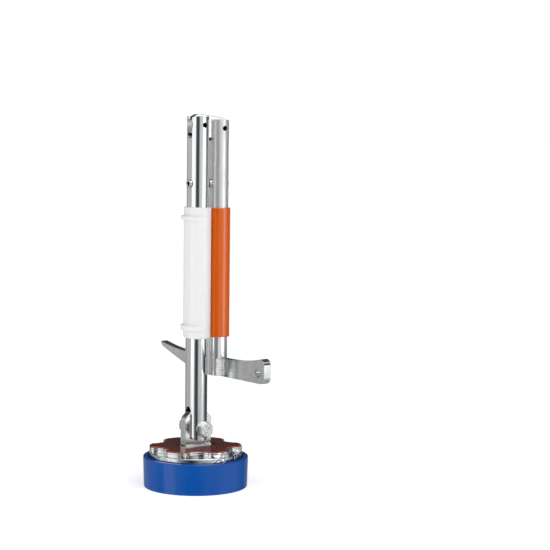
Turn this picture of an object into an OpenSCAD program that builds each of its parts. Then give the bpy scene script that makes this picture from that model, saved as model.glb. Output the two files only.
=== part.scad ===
// Folding magnetic manhole cover lifter with its transport cap.
// Frame: origin at the middle of the cap's underside, +Z up the lever,
// +X from the lever to the folded extension, Y along every hinge pin.
// Sizes are in millimetres.

/* [Cap] */
// Cap wall at the open upper rim
cap_wall = 5.2; // [4:0.1:7]
// Cap height
cap_h = 29.2; // [26:0.1:33]
// How much narrower the cap is at the foot
cap_draft = 1.6; // [0.4:0.2:3]
// Cap floor thickness
cap_floor = 3; // [2:0.25:4]
// Steel keeper disc on the cap floor
keeper_t = 1.5; // [1:0.25:2]

/* [Magnet head] */
// Diameter of the steel magnet pot
pot_d = 88; // [84:0.5:89]
// Top face of the magnet pot
pot_top = 33.5; // [32:0.5:38]
// Thickness of the ring magnet
magnet_t = 16; // [12:0.5:17]
// Diameter of the centre pole
core_d = 34; // [28:1:38]
// Thickness of the lobed plate
lobe_t = 5; // [4:0.25:7]
// Number of lobes
lobe_count = 6; // [4:1:6]
// Depth of the notches between two lobes
notch_depth = 8.8; // [6:0.1:10]
// Radius of a notch
notch_r = 13.5; // [10:0.25:16]
// Turn of the first notch from +X
notch_turn = 58.6; // [0:0.1:59.9]
// Thickness of the covering disc
label_t = 0.8; // [0.5:0.1:1.2]
// Margin of bare metal around the covering disc
label_inset = 1.5; // [0.8:0.1:2.2]

/* [Lever] */
// Tube size across the flats
tube_flat = 18; // [17:0.25:19]
// Tube size across the round sides
tube_round = 23.2; // [22:0.2:25]
// Tube wall
tube_wall = 2; // [1.5:0.25:2.25]
// Clear height between the lobed plate and the lever tube
lever_gap = 6.5; // [4.5:0.1:8]
// Lever tube length
lever_len = 305.5; // [298:0.1:330]
// Ear thickness
ear_t = 8; // [7:0.1:8.2]
// Ear width
ear_w = 30; // [26:0.5:32]
// Radius of the ear's round head, around the hinge
ear_head_r = 17.5; // [16.5:0.25:18.5]
// Height of the hinge above the lobed plate
hinge_up = 17.5; // [16.5:0.1:20]
// Hinge bolt diameter
bolt_d = 8; // [7:0.25:8.5]
// Bare tube from the rivet down to the lever grip
grip_drop = 21.9; // [16:0.1:30]
// Lever grip length
grip_len = 124; // [110:0.5:130]
// Lever grip wall
grip_wall = 2.5; // [2:0.1:2.6]
// How far the finger stops stand out
stop_out = 3; // [1.5:0.25:4]

/* [Extension] */
// Gap between the two grips when folded
grip_gap = 0.43; // [0.3:0.01:2]
// How far the folded link drops below level
link_drop_deg = 7; // [5:0.5:8]
// Link width
link_w = 20.5; // [18:0.5:21]
// Link thickness
link_t = 6.5; // [5:0.1:8]
// Distance from a tube end to its link pin
pin_inset = 8; // [7:0.25:9]
// Link pin diameter
pin_d = 5; // [4:0.25:6]
// Bare tube from the rivet down to the extension grip
ext_grip_drop = 22.9; // [16:0.1:30]
// Extension grip length
ext_grip_len = 122.5; // [110:0.5:128]
// Extension grip wall
ext_grip_wall = 2; // [1.5:0.1:2.2]
// Bare tube between the extension grip and the cross bar
bar_to_grip = 20; // [14:0.1:30]
// Distance from the lever's link pin down to both rivets
rivet_drop = 54.9; // [52:0.1:60]

/* [Cross bar] */
// Reach of the arm with the hole, from the tube axis
arm_reach = 81.2; // [70:0.2:90]
// Reach of the pick arm, from the tube axis
pick_reach = 89.5; // [78:0.1:95]
// Height of the bar where it passes the tube
bar_h = 17; // [14:0.25:19]
// Bar thickness
bar_t = 8; // [6:0.25:9]
// Hanging hole diameter
hang_d = 9; // [7:0.25:10]
// Hanging hole from the end of its arm
hang_in = 10; // [8:0.1:12]

/* [Hidden] */
$fn = 72;
// play between parts that turn or slide on each other
play = 0.3;
slot_play = 0.5;
bore_play = 0.2;
ear_play = 0.15;
// overlap of a pressed fit, and the spare length of a cutting tool
bite = 0.04;
over = 1;

// magnet head
pot_r = pot_d / 2;
pot_wall = 6;
cap_gap = 0.8;
cap_edge = 0.6;
cap_foot_edge = 0.9;
cap_bore_r = pot_r + cap_gap;
cap_d = 2 * (cap_bore_r + cap_wall);
pole_z = cap_floor + keeper_t;
keeper_r = pot_r - cap_gap - 0.2;
cavity_r = pot_r - pot_wall;
cover_t = 3.5;
cover_sunk = 0.5;
magnet_z = pole_z + cover_t;
cavity_top = magnet_z + magnet_t;
magnet_side = 1.5;
magnet_core_gap = 2;
plate_top = pot_top + lobe_t;
notch_c = pot_r - notch_depth + notch_r;
lobe_round = 5;
core_screw_d = 8;
core_screw_end = 3;
plate_screw_d = 6;
plate_screw_edge = 3;
plate_screw_pcr = pot_r - notch_depth - plate_screw_d - plate_screw_edge;
plate_screw_end = cavity_top + 2;
label_side = 4;
label_front = 5.5;

// ear, lever and tilt hinge
tube_r = tube_flat / 2;
tube_y = tube_round / 2;
bore_r = tube_r - tube_wall;
tube_foot_round = 5;
tube_end_round = 1.5;
ear_r = ear_w / 2;
hinge_z = plate_top + hinge_up;
// depth that a slot's half-round end still has at the corners of the plate in it
ear_corner = slot_corner(ear_t);
link_corner = slot_corner(link_t);
ear_slot_gap = 0.4;
ear_slot_z = hinge_z + ear_head_r + ear_slot_gap - ear_corner;
ear_weld_r = 3;
ear_weld_out = 0.6;
ear_weld_low = 0.2;
ear_weld_in = 1;
lever_bottom = plate_top + lever_gap;
lever_top = lever_bottom + lever_len;
lever_pin_z = lever_top - pin_inset;
washer_t = 1.6;
washer_d = 16;
washer_play = 0.4;
head_af = 13;
head_h = 5.3;
head_edge = 0.2;
head_mark_d = 6;
head_mark_h = 0.5;
nut_h = 5.4;
collar_h = 2.6;
collar_in = 0.6;
collar_taper = 2.4;

// link, rivets and spring plungers
rivet_z = lever_pin_z - rivet_drop;
ext_x = tube_flat + grip_wall + ext_grip_wall + grip_gap;
link_pitch = ext_x / cos(link_drop_deg);
ext_pin_z = lever_pin_z - ext_x * tan(link_drop_deg);
ext_top = ext_pin_z + pin_inset;
link_r = link_w / 2;
// the slots are shallow on the outer sides, and clear the folded link on the inner ones
slot_trim = 1.35;
slot_outer = link_r - slot_trim;
link_under = link_r / cos(link_drop_deg) + play - link_corner;
lever_slot = link_under + tube_r * tan(link_drop_deg);
ext_slot = link_under - bore_r * tan(link_drop_deg);
pin_sunk = 0.3;
pin_bore = 0.6;
rivet_d = 6;
rivet_wall = 1;
rivet_head_d = 8.2;
rivet_head_h = 2;
rivet_head_taper = 0.7;
plunger_gap = 0.4;
plunger_r = bore_r - 2;
plunger_neck = 3;
plunger_len = 20;
seat_h = 3.5;
seat_lift = 1;
seat_r = bore_r - 0.6;
wire_d = 1.4;
coil_r = bore_r - 1.9;

// grips and cross bar
grip_z = rivet_z - grip_drop - grip_len;
grip_foot_round = 2;
grip_end_round = 0.8;
stop_low = 7.6;
stop_low_h = 5.4;
stop_high = 12.2;
stop_high_h = 4.2;
stop_side = 0.5;
seam_turn = 42;
seam_w = 0.6;
seam_depth = 0.4;
ext_grip_z = rivet_z - ext_grip_drop - ext_grip_len;
ext_bottom = ext_grip_z - bar_to_grip - bar_h;
bar_end_round = 0.6;
arm_rise = 6.3;
arm_h = bar_h + arm_rise;
arm_round = 6;
arm_flat = 20;
arm_bend = 250;
pick_flat = 33;
pick_bend = 275;
pick_start = 31;
pick_tip_h = 5.8;
hang_up = 9.7;
bar_weld_r = 3.4;
bar_weld_out = 1;
bar_weld_side = 0.3;
bar_weld_end = 0.5;

// Flat-oval outline: flats face +X and -X, rounds face +Y and -Y.
module flat_oval(t, w) {
    square([t, w - t], center = true);
    for (side = [-1, 1])
        translate([0, side * (w - t) / 2]) circle(d = t);
}

// Side view of a sleeve: a slab along Y whose corners are rounded at the foot and at the top.
module end_rounding(t, z0, z1, r0, r1) {
    rotate([90, 0, 0])
        linear_extrude(height = 3 * tube_round, center = true) {
            translate([-t / 2, z0 + r0]) square([t, z1 - z0 - r0 - r1]);
            translate([-t / 2 + r0, z0]) square([t - 2 * r0, 2 * r0]);
            translate([-t / 2 + r1, z1 - 2 * r1]) square([t - 2 * r1, 2 * r1]);
            for (side = [-1, 1]) {
                translate([side * (t / 2 - r0), z0 + r0]) circle(r = r0);
                translate([side * (t / 2 - r1), z1 - r1]) circle(r = r1);
            }
        }
}

// Flat-oval tube with rounded end corners.
module oval_tube(z0, z1, r0, r1) {
    intersection() {
        translate([0, 0, z0])
            linear_extrude(height = z1 - z0)
                difference() {
                    flat_oval(tube_flat, tube_round);
                    flat_oval(tube_flat - 2 * tube_wall, tube_round - 2 * tube_wall);
                }
        end_rounding(tube_flat, z0, z1, r0, r1);
    }
}

// Slot for a plate of thickness t, cut through one flat (or both) and closed by a half round at z_end.
module flat_slot(t, x0, x1, z_end, z_open) {
    slot_w = t + slot_play;
    translate([x0, -slot_w / 2, min(z_end, z_open)])
        cube([x1 - x0, slot_w, abs(z_open - z_end)]);
    translate([x0, 0, z_end]) rotate([0, 90, 0]) cylinder(d = slot_w, h = x1 - x0);
}

// Cylinder along Y, from y0 to y1.
module along_y(d, y0, y1) {
    translate([0, y1, 0]) rotate([90, 0, 0]) cylinder(d = d, h = y1 - y0);
}

// Depth of a slot's half-round end at the corners of the plate of thickness t in it.
function slot_corner(t) = sqrt(pow(t + slot_play, 2) - pow(t, 2)) / 2;

// Points on an arc around a centre.
function arc(mid, r, a0, a1, n) =
    [for (i = [0 : n]) let (t = a0 + (a1 - a0) * i / n) mid + r * [cos(t), sin(t)]];

// A list of points turned around the origin.
function turned(points, a) =
    [for (p = points) [p[0] * cos(a) - p[1] * sin(a), p[0] * sin(a) + p[1] * cos(a)]];

// Disc with rounded lobes, made smaller all round by "inset".
module lobed_outline(inset) {
    pitch = 360 / lobe_count;
    r = pot_r - inset;
    n = notch_r + inset;
    c = max(lobe_round - inset, 0.3);
    a = acos((pow(r - c, 2) + pow(notch_c, 2) - pow(n + c, 2)) / (2 * (r - c) * notch_c));
    mid = [(r - c) * cos(a), (r - c) * sin(a)];
    b = atan2(mid[1], mid[0] - notch_c);
    one = concat(
        arc([mid[0], -mid[1]], c, -a, 180 - b, 5),
        arc([notch_c, 0], n, 360 - b - 4, b + 4, 16),
        arc(mid, c, b - 180, a, 5),
        arc([0, 0], r, a + 2, pitch - a - 2, 7));
    polygon([for (k = [0 : lobe_count - 1]) for (p = turned(one, notch_turn + k * pitch)) p]);
}

// Round wire wound into an open coil around Z.
module coil(z0, z1, turns) {
    steps = 18;
    ring = 6;
    count = turns * steps;
    rise = z1 - z0 - wire_d;
    points = [for (i = [0 : count]) for (k = [0 : ring - 1])
        let (t = i * 360 / steps, u = k * 360 / ring, r = coil_r + wire_d / 2 * cos(u))
            [r * cos(t), r * sin(t), z0 + wire_d / 2 + rise * i / count + wire_d / 2 * sin(u)]];
    sides = [for (i = [0 : count - 1]) for (k = [0 : ring - 1])
        [i * ring + k, i * ring + (k + 1) % ring, (i + 1) * ring + (k + 1) % ring, (i + 1) * ring + k]];
    first = [[for (k = [ring - 1 : -1 : 0]) k]];
    last = [[for (k = [0 : ring - 1]) count * ring + k]];
    polyhedron(points = points, faces = concat(sides, first, last), convexity = 8);
}

// Countersunk screw standing on its tip, with its flat head at z_top.
module sunk_screw(d, z0, z_top) {
    translate([0, 0, z0]) cylinder(d = d, h = z_top - z0);
    translate([0, 0, z_top - d / 2]) cylinder(d1 = d, d2 = 2 * d, h = d / 2);
}

// Cup of moulded plastic that covers the magnet and carries the standing tool.
module protective_cap() {
    r1 = cap_d / 2;
    r0 = r1 - cap_draft / 2;
    rim = cap_h - cap_edge;
    color([0.07, 0.33, 0.68])
        rotate_extrude($fn = 144)
            polygon([[0, 0], [r0 - cap_foot_edge, 0], [r0, cap_foot_edge], [r1, rim],
                [r1 - cap_edge, cap_h], [cap_bore_r + cap_edge, cap_h], [cap_bore_r, rim],
                [cap_bore_r, cap_floor], [0, cap_floor]]);
}

// Steel disc on the cap floor that the magnet holds on to.
module keeper_plate() {
    color([0.55, 0.56, 0.57])
        translate([0, 0, cap_floor]) cylinder(r = keeper_r, h = keeper_t, $fn = 144);
}

// Turned steel pot, open below, that leads the field to its rim.
module magnet_pot() {
    color([0.75, 0.76, 0.77])
        difference() {
            translate([0, 0, pole_z]) cylinder(r = pot_r, h = pot_top - pole_z, $fn = 144);
            translate([0, 0, pole_z - over]) cylinder(r = cavity_r, h = cavity_top - pole_z + over);
            translate([0, 0, pole_z]) cylinder(d = core_screw_d, h = pot_top - pole_z - core_screw_end);
            for (k = [0 : 3]) rotate(45 + k * 90)
                translate([plate_screw_pcr, 0, plate_screw_end])
                    cylinder(d = plate_screw_d, h = pot_top - plate_screw_end + over);
        }
}

// Ring magnet under the roof of the pot.
module ring_magnet() {
    color([0.2, 0.2, 0.21])
        translate([0, 0, magnet_z])
            difference() {
                cylinder(r = cavity_r - magnet_side, h = magnet_t);
                translate([0, 0, -over])
                    cylinder(r = core_d / 2 + magnet_core_gap, h = magnet_t + 2 * over);
            }
}

// Centre pole with a sunk seat for its screw.
module pole_core() {
    color([0.72, 0.73, 0.74])
        difference() {
            translate([0, 0, pole_z]) cylinder(d = core_d, h = cavity_top - pole_z);
            translate([0, 0, pole_z - over]) cylinder(d = core_screw_d, h = cavity_top);
            translate([0, 0, pole_z])
                cylinder(r1 = core_screw_d + cover_sunk, d2 = core_screw_d,
                    h = core_screw_d / 2 + cover_sunk);
        }
}

// Countersunk screw that holds the centre pole in the pot.
module core_screw() {
    color([0.35, 0.35, 0.36])
        translate([0, 0, pole_z + cover_sunk]) {
            cylinder(d = core_screw_d, h = pot_top - pole_z - cover_sunk - core_screw_end);
            cylinder(d1 = 2 * core_screw_d, d2 = core_screw_d, h = core_screw_d / 2);
        }
}

// Cast resin that seals the magnet between pole and rim.
module magnet_potting() {
    color([0.12, 0.12, 0.13])
        translate([0, 0, pole_z + cover_sunk])
            difference() {
                cylinder(r = cavity_r, h = cover_t - cover_sunk);
                translate([0, 0, -over]) cylinder(d = core_d, h = cover_t + 2 * over);
            }
}

// Zinc-plated steel plate with rounded lobes, screwed on the pot.
module lobed_plate() {
    color([0.78, 0.79, 0.8])
        difference() {
            translate([0, 0, pot_top]) linear_extrude(height = lobe_t) lobed_outline(0);
            for (k = [0 : 3]) rotate(45 + k * 90)
                translate([plate_screw_pcr, 0, 0]) {
                    translate([0, 0, pot_top - over])
                        cylinder(d = plate_screw_d, h = lobe_t + 2 * over);
                    translate([0, 0, plate_top - plate_screw_d / 2])
                        cylinder(d1 = plate_screw_d, d2 = 2 * plate_screw_d, h = plate_screw_d / 2);
                }
        }
}

// Four countersunk screws under the covering disc.
module plate_screws() {
    color([0.45, 0.45, 0.46])
        for (k = [0 : 3]) rotate(45 + k * 90)
            translate([plate_screw_pcr, 0, 0])
                sunk_screw(plate_screw_d, plate_screw_end, plate_top);
}

// Bare red-brown plastic disc, cut out around the foot of the ear.
module top_label() {
    color([0.46, 0.26, 0.24])
        translate([0, 0, plate_top])
            linear_extrude(height = label_t)
                difference() {
                    lobed_outline(label_inset);
                    square([ear_w + 2 * label_side, ear_t + 2 * label_front], center = true);
                }
}

// Upright plate with a round head that carries the tilt hinge.
module lifting_ear() {
    color([0.76, 0.77, 0.78])
        rotate([90, 0, 0])
            linear_extrude(height = ear_t, center = true)
                difference() {
                    intersection() {
                        union() {
                            translate([0, hinge_z]) circle(r = ear_head_r);
                            translate([-ear_r, plate_top]) square([ear_w, hinge_up]);
                        }
                        translate([-ear_r, plate_top]) square([ear_w, hinge_up + ear_head_r]);
                    }
                    translate([0, hinge_z]) circle(d = bolt_d + ear_play);
                }
}

// Weld beads along both feet of the ear.
module ear_welds() {
    color([0.68, 0.69, 0.7])
        difference() {
            for (side = [-1, 1])
                translate([ear_weld_in - ear_r, side * (ear_t / 2 + ear_weld_out),
                        plate_top - ear_weld_low])
                    rotate([0, 90, 0])
                        cylinder(r = ear_weld_r, h = ear_w - 2 * ear_weld_in, $fn = 36);
            translate([-ear_r, -ear_t / 2, plate_top - lobe_t]) cube([ear_w, ear_t, ear_w]);
            translate([-ear_r, -ear_r, plate_top - lobe_t]) cube([ear_w, ear_w, lobe_t]);
        }
}

// Lever tube: forked over the ear below and over the link above.
module lever_tube() {
    color([0.8, 0.81, 0.82])
        difference() {
            oval_tube(lever_bottom, lever_top, tube_foot_round, tube_end_round);
            flat_slot(ear_t, -tube_flat, tube_flat, ear_slot_z, lever_bottom - over);
            flat_slot(link_t, -tube_flat, 0, lever_pin_z - slot_outer, lever_top + over);
            flat_slot(link_t, 0, tube_flat, lever_pin_z - lever_slot, lever_top + over);
            translate([0, 0, hinge_z]) along_y(bolt_d + bore_play, -tube_round, tube_round);
            translate([0, 0, lever_pin_z]) along_y(pin_d, -tube_round, tube_round);
            translate([-tube_flat, 0, rivet_z]) rotate([0, 90, 0])
                cylinder(d = rivet_d, h = 2 * tube_flat);
        }
}

// White hand grip with two finger stops that fade out at the round sides.
module lever_grip() {
    t = tube_flat + 2 * grip_wall;
    w = tube_round + 2 * grip_wall;
    color([0.93, 0.93, 0.92])
        difference() {
            union() {
                intersection() {
                    translate([0, 0, grip_z]) linear_extrude(height = grip_len) flat_oval(t, w);
                    end_rounding(t, grip_z, grip_z + grip_len, grip_foot_round, grip_end_round);
                    rotate(90)
                        end_rounding(w, grip_z, grip_z + grip_len, grip_foot_round, grip_end_round);
                }
                for (at = [[stop_low, stop_low_h], [grip_len - stop_high, stop_high_h]])
                    translate([-stop_out, 0, grip_z + at[0]])
                        linear_extrude(height = at[1]) flat_oval(t, w - 2 * stop_side);
            }
            translate([0, 0, grip_z - over])
                linear_extrude(height = grip_len + 2 * over)
                    flat_oval(tube_flat - bite, tube_round - bite);
            for (side = [-1, 1])
                translate([0, side * (tube_y - tube_r), grip_z - over]) rotate(side * -seam_turn)
                    translate([-seam_w / 2, side * t / 2 - seam_depth, 0])
                        cube([seam_w, 2 * seam_depth, grip_len + 2 * over]);
        }
}

// Hexagon bolt of the tilt hinge, with its head on the -Y side.
module hinge_bolt() {
    face = -(tube_y + washer_t);
    color([0.77, 0.78, 0.79])
        translate([0, 0, hinge_z])
            difference() {
                union() {
                    along_y(bolt_d, face, tube_y + washer_t + nut_h + collar_h);
                    intersection() {
                        along_y(head_af / cos(30), face - head_h, face, $fn = 6);
                        translate([0, face, 0]) rotate([90, 0, 0])
                            cylinder(r1 = head_af / 2 - head_edge + head_h / tan(30),
                                r2 = head_af / 2 - head_edge, h = head_h);
                    }
                }
                translate([0, face - head_h + head_mark_h, 0]) rotate([90, 0, 0])
                    cylinder(d1 = head_mark_d - head_mark_h, d2 = head_mark_d + head_mark_h,
                        h = 2 * head_mark_h);
            }
}

// Two washers, one on each round side of the lever tube.
module hinge_washers() {
    color([0.74, 0.75, 0.76])
        translate([0, 0, hinge_z])
            for (side = [0, 1]) mirror([0, side, 0])
                difference() {
                    along_y(washer_d, -tube_y - washer_t, -tube_y);
                    along_y(bolt_d + washer_play, -tube_y - 2 * washer_t, 0);
                }
}

// Lock nut on the +Y side, with a round collar.
module lock_nut() {
    face = tube_y + washer_t;
    color([0.77, 0.78, 0.79])
        translate([0, 0, hinge_z])
            difference() {
                union() {
                    along_y(head_af / cos(30), face, face + nut_h, $fn = 6);
                    translate([0, face + nut_h, 0]) rotate([-90, 0, 0])
                        cylinder(d1 = head_af - collar_in, d2 = head_af - collar_in - collar_taper,
                            h = collar_h);
                }
                along_y(bolt_d, face - over, face + nut_h + collar_h + over);
            }
}

// Slotted hollow spring pin.
module spring_pin() {
    difference() {
        along_y(pin_d + bite, pin_sunk - tube_y, tube_y - pin_sunk);
        along_y(pin_d * pin_bore, -tube_y, tube_y);
    }
}

// Pin between lever and link.
module lever_pivot_pin() {
    color([0.3, 0.3, 0.31]) translate([0, 0, lever_pin_z]) spring_pin();
}

// Hollow rivet across the flats of a tube.
module hollow_rivet() {
    rotate([0, 90, 0])
        difference() {
            union() {
                translate([0, 0, -tube_r]) cylinder(d = rivet_d + bite, h = tube_flat);
                for (side = [0, 1]) mirror([0, 0, side])
                    translate([0, 0, tube_r])
                        cylinder(d1 = rivet_head_d, d2 = rivet_head_d - 2 * rivet_head_taper,
                            h = rivet_head_h);
            }
            translate([0, 0, -tube_flat]) cylinder(d = rivet_d - 2 * rivet_wall, h = 2 * tube_flat);
        }
}

// Rivet that closes the spring chamber in the lever tube.
module lever_rivet() {
    color([0.8, 0.81, 0.82]) translate([0, 0, rivet_z]) hollow_rivet();
}

// Saddle between a rivet and its spring.
module spring_seat() {
    difference() {
        translate([0, 0, seat_lift]) cylinder(r = seat_r, h = seat_h);
        translate([-tube_flat, 0, 0]) rotate([0, 90, 0])
            cylinder(d = rivet_d + bite, h = 2 * tube_flat);
    }
}

// Saddle in the lever tube.
module lever_spring_seat() {
    color([0.2, 0.2, 0.2]) translate([0, 0, rivet_z]) spring_seat();
}

// Spring in the lever tube.
module lever_spring() {
    color([0.6, 0.61, 0.62])
        coil(rivet_z + seat_lift + seat_h, lever_pin_z - link_r - plunger_gap - plunger_len, 6);
}

// Guided plunger with a round nose under the link, nose tip at z = 0.
module plunger() {
    translate([0, 0, -plunger_len])
        linear_extrude(height = plunger_len - plunger_r - plunger_neck)
            flat_oval(2 * (bore_r - play), tube_round - 2 * (tube_wall + play));
    translate([0, 0, -plunger_r - plunger_neck]) cylinder(r = plunger_r, h = plunger_neck);
    intersection() {
        translate([0, 0, -plunger_r]) sphere(r = plunger_r);
        translate([0, 0, -plunger_r]) cylinder(r = 2 * plunger_r, h = 2 * plunger_r);
    }
}

// Plunger in the lever tube.
module lever_plunger() {
    color([0.85, 0.84, 0.78]) translate([0, 0, lever_pin_z - link_r - plunger_gap]) plunger();
}

// Link with round ends that joins both tubes.
module link_plate() {
    color([0.8, 0.81, 0.82])
        translate([0, 0, lever_pin_z]) rotate([0, link_drop_deg, 0]) rotate([90, 0, 0])
            linear_extrude(height = link_t, center = true)
                difference() {
                    union() {
                        circle(r = link_r);
                        translate([link_pitch, 0]) circle(r = link_r);
                        translate([0, -link_r]) square([link_pitch, link_w]);
                    }
                    circle(d = pin_d + bore_play);
                    translate([link_pitch, 0]) circle(d = pin_d + bore_play);
                }
}

// Extension tube: forked over the link above and over the cross bar below.
module extension_tube() {
    color([0.8, 0.81, 0.82])
        translate([ext_x, 0, 0])
            difference() {
                oval_tube(ext_bottom, ext_top, bar_end_round, tube_end_round);
                flat_slot(link_t, -tube_flat, 0, ext_pin_z - ext_slot, ext_top + over);
                flat_slot(link_t, 0, tube_flat, ext_pin_z - slot_outer, ext_top + over);
                translate([0, 0, ext_pin_z]) along_y(pin_d, -tube_round, tube_round);
                translate([-tube_flat, 0, rivet_z]) rotate([0, 90, 0])
                    cylinder(d = rivet_d, h = 2 * tube_flat);
                translate([-bar_t / 2, -tube_round, ext_bottom - over])
                    cube([bar_t, 2 * tube_round, bar_h + over]);
            }
}

// Smooth orange grip of the extension.
module extension_grip() {
    color([0.8, 0.3, 0.05])
        translate([ext_x, 0, ext_grip_z])
            linear_extrude(height = ext_grip_len)
                difference() {
                    flat_oval(tube_flat + 2 * ext_grip_wall, tube_round + 2 * ext_grip_wall);
                    flat_oval(tube_flat - bite, tube_round - bite);
                }
}

// Pin between link and extension.
module extension_pivot_pin() {
    color([0.3, 0.3, 0.31]) translate([ext_x, 0, ext_pin_z]) spring_pin();
}

// Rivet that closes the spring chamber in the extension tube.
module extension_rivet() {
    color([0.8, 0.81, 0.82]) translate([ext_x, 0, rivet_z]) hollow_rivet();
}

// Saddle in the extension tube.
module extension_spring_seat() {
    color([0.2, 0.2, 0.2]) translate([ext_x, 0, rivet_z]) spring_seat();
}

// Spring in the extension tube.
module extension_spring() {
    color([0.6, 0.61, 0.62])
        translate([ext_x, 0, 0])
            coil(rivet_z + seat_lift + seat_h, ext_pin_z - link_r - plunger_gap - plunger_len, 6);
}

// Plunger in the extension tube.
module extension_plunger() {
    color([0.85, 0.84, 0.78])
        translate([ext_x, 0, ext_pin_z - link_r - plunger_gap]) plunger();
}

// Side view of the cross bar: drawn with Y to the right and Z up from the tube end.
module bar_outline() {
    difference() {
        union() {
            translate([arm_round - arm_reach, 0])
                square([arm_reach - arm_round + pick_start, arm_h]);
            translate([-arm_reach, arm_round]) square([2 * arm_round, arm_h - 2 * arm_round]);
            for (v = [arm_round, arm_h - arm_round])
                translate([arm_round - arm_reach, v]) circle(r = arm_round);
            polygon([[arm_flat, 0], [pick_start, 0],
                [pick_reach - 0.65 * pick_tip_h, bar_h + 0.15 * pick_tip_h],
                [pick_reach - 0.25 * pick_tip_h, bar_h + 0.5 * pick_tip_h],
                [pick_reach, bar_h + pick_tip_h], [arm_flat, bar_h + 1.5 * pick_tip_h]]);
        }
        translate([-arm_flat, bar_h]) square([arm_flat + pick_flat, 3 * arm_rise]);
        translate([-arm_flat, bar_h + arm_bend]) circle(r = arm_bend, $fn = 720);
        translate([pick_flat, bar_h + pick_bend]) circle(r = pick_bend, $fn = 720);
        translate([hang_in - arm_reach, hang_up]) circle(d = hang_d);
    }
}

// Cross bar through the lower end of the extension: an arm with a hole and a pick.
module cross_bar() {
    color([0.72, 0.73, 0.73])
        translate([ext_x, 0, ext_bottom])
            rotate([90, 0, 90]) linear_extrude(height = bar_t, center = true) bar_outline();
}

// Upright weld beads in the four corners between tube and bar.
module bar_welds() {
    color([0.85, 0.86, 0.86])
        translate([ext_x, 0, ext_bottom])
            difference() {
                for (x = [-1, 1]) for (y = [-1, 1])
                    translate([x * (bar_t / 2 + bar_weld_out), y * (tube_y + bar_weld_side),
                            bar_weld_end])
                        cylinder(r = bar_weld_r, h = bar_h - 2 * bar_weld_end, $fn = 36);
                linear_extrude(height = bar_h) flat_oval(tube_flat, tube_round);
                translate([-bar_t / 2, -2 * tube_y, 0]) cube([bar_t, 4 * tube_y, bar_h]);
            }
}

protective_cap();
keeper_plate();
magnet_pot();
ring_magnet();
pole_core();
core_screw();
magnet_potting();
lobed_plate();
plate_screws();
top_label();
lifting_ear();
ear_welds();
lever_tube();
lever_grip();
hinge_bolt();
hinge_washers();
lock_nut();
lever_pivot_pin();
lever_rivet();
lever_spring();
lever_spring_seat();
lever_plunger();
link_plate();
extension_tube();
extension_grip();
extension_pivot_pin();
extension_rivet();
extension_spring();
extension_spring_seat();
extension_plunger();
cross_bar();
bar_welds();
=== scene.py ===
# Looks of a folding magnetic manhole cover lifter that stands on its transport cap.
# Metres, in the frame of the solids: +Z up the lever, +X from lever to extension, Y along every pin.

import math

import bmesh
import bpy
from mathutils import Matrix, Vector


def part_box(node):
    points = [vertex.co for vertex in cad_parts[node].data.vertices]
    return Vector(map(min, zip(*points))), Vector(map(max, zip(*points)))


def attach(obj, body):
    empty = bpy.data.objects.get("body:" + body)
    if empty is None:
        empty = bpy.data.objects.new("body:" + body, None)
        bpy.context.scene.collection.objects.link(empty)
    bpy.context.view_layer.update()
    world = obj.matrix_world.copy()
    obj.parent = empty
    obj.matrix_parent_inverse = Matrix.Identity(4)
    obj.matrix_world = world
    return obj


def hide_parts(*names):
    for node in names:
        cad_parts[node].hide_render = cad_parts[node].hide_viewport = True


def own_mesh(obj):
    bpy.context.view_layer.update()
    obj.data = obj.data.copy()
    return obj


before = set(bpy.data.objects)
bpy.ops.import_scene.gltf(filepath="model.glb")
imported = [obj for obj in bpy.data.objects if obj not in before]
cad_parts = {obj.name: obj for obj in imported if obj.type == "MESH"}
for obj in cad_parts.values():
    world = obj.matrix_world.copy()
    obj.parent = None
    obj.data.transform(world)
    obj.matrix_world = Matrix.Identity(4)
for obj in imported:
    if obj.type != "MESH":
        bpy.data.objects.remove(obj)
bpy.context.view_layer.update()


# Transport cap: a cup of moulded blue polypropylene that the magnet is kept in.
# It is moulded with draft in one piece, so it is turned from one profile with edge rounds and a lead-in.

MM = 0.001
ON_AXIS = 0.0001 * MM
SHARP_DEGREES = 35


def linear(hex_colour):
    """An sRGB hex colour as the linear colour that a shader takes."""
    shares = [int(hex_colour[i:i + 2], 16) / 255 for i in (1, 3, 5)]
    return [s / 12.92 if s <= 0.04045 else ((s + 0.055) / 1.055) ** 2.4 for s in shares] + [1.0]


def add(tree, kind, settings={}):
    """Adds a node with its properties, ramp stops and sockets; a node or a socket as value is linked."""
    node = tree.nodes.new(kind)
    for name, value in settings.items():
        if name == "stops":
            ramp = node.color_ramp.elements
            for stop, (position, colour) in zip(ramp, (value[0], value[-1])):
                stop.position = position
                stop.color = colour
            for position, colour in value[1:-1]:
                ramp.new(position).color = colour
        elif isinstance(name, str) and hasattr(node, name):
            setattr(node, name, value)
        elif isinstance(value, bpy.types.Node):
            tree.links.new(value.outputs[0], node.inputs[name])
        elif isinstance(value, bpy.types.NodeSocket):
            tree.links.new(value, node.inputs[name])
        else:
            node.inputs[name].default_value = value
    return node


def start_material(name, fixed):
    """A new material with what is the same all over, its tree, and the place on the piece."""
    made = bpy.data.materials.new(name)
    made.use_nodes = True
    tree = made.node_tree
    for socket, value in fixed.items():
        tree.nodes["Principled BSDF"].inputs[socket].default_value = value
    return made, tree, add(tree, "ShaderNodeTexCoord").outputs["Object"]


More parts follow.
